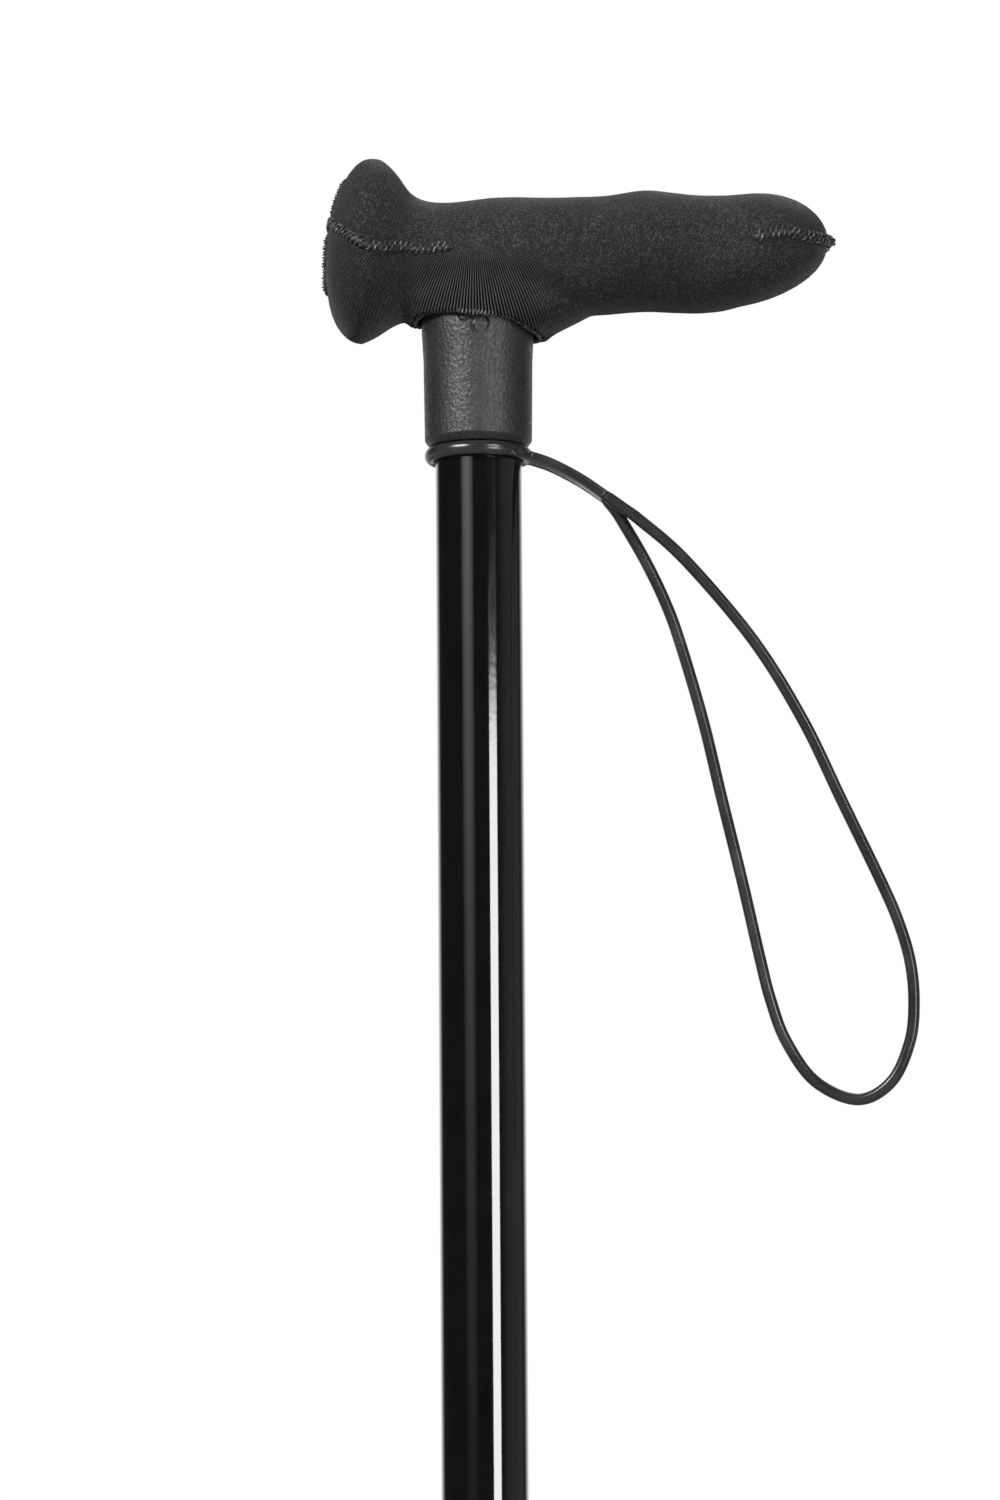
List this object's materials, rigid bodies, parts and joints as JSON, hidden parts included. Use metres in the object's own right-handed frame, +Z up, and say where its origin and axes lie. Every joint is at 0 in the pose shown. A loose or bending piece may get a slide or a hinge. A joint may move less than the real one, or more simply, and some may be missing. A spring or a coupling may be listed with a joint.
{
  "type": "walking cane",
  "caption": "Height-adjustable walking cane: black tube, T-shaped grip with a flared end under a knitted cover, rubber wrist strap and flared foot.",
  "frame": {"origin": "the shaft's axis at the foot's flat tread, on the floor", "axes": "+Z up along the shaft, +X towards the grip's nose, -Y towards the viewer of the picture"},
  "size_m": [0.1498, 0.0472, 0.8999],
  "materials": {
    "grip_core": "satin moulded",
    "knit_cover": "fine matt knit",
    "seam_thread": "overlock thread",
    "upper_tube": "gloss black paint",
    "collar_bush": "satin moulded",
    "lower_tube": "gloss black paint",
    "button_spring": "rolled",
    "ferrule": "matt moulded",
    "ferrule_washer": "zinc plated",
    "snap_button": "polished",
    "locking_collar": "satin moulded",
    "strap": "satin moulded"
  },
  "bodies": {
    "handle": {"grip_core": "grip_core", "knit_cover": "knit_cover", "flange_seam_side": "seam_thread", "flange_seam_upper": "seam_thread", "flange_seam_lower": "seam_thread", "nose_seam": "seam_thread", "hem_thread": "seam_thread", "upper_tube": "upper_tube", "collar_bush": "collar_bush"},
    "lower_shaft": {"lower_tube": "lower_tube", "tube_insert": "collar_bush", "button_spring": "button_spring", "ferrule": "ferrule", "ferrule_washer": "ferrule_washer"},
    "button": {"snap_button": "snap_button"},
    "collar": {"locking_collar": "locking_collar"},
    "strap": {"strap_ring": "strap", "strap_loop": "strap"}
  },
  "joints": [
    {"name": "height_slide", "type": "slide", "parent": "handle", "child": "lower_shaft", "axis": [0, 0, 1], "range_m": [-0.075, 0.075]},
    {"name": "button_press", "type": "slide", "parent": "lower_shaft", "child": "button", "axis": [0, 1, 0], "range_m": [0, 0.004], "stiffness_N_per_m": 600, "deforming": ["button_spring"]},
    {"name": "collar_turn", "type": "hinge", "parent": "handle", "child": "collar", "pos_m": [0, 0, 0.345], "axis": [0, 0, 1], "range_deg": [0, 180]},
    {"name": "strap_swivel", "type": "hinge", "parent": "handle", "child": "strap", "pos_m": [0, 0, 0.8239], "axis": [0, 0, 1], "continuous": true}
  ]
}
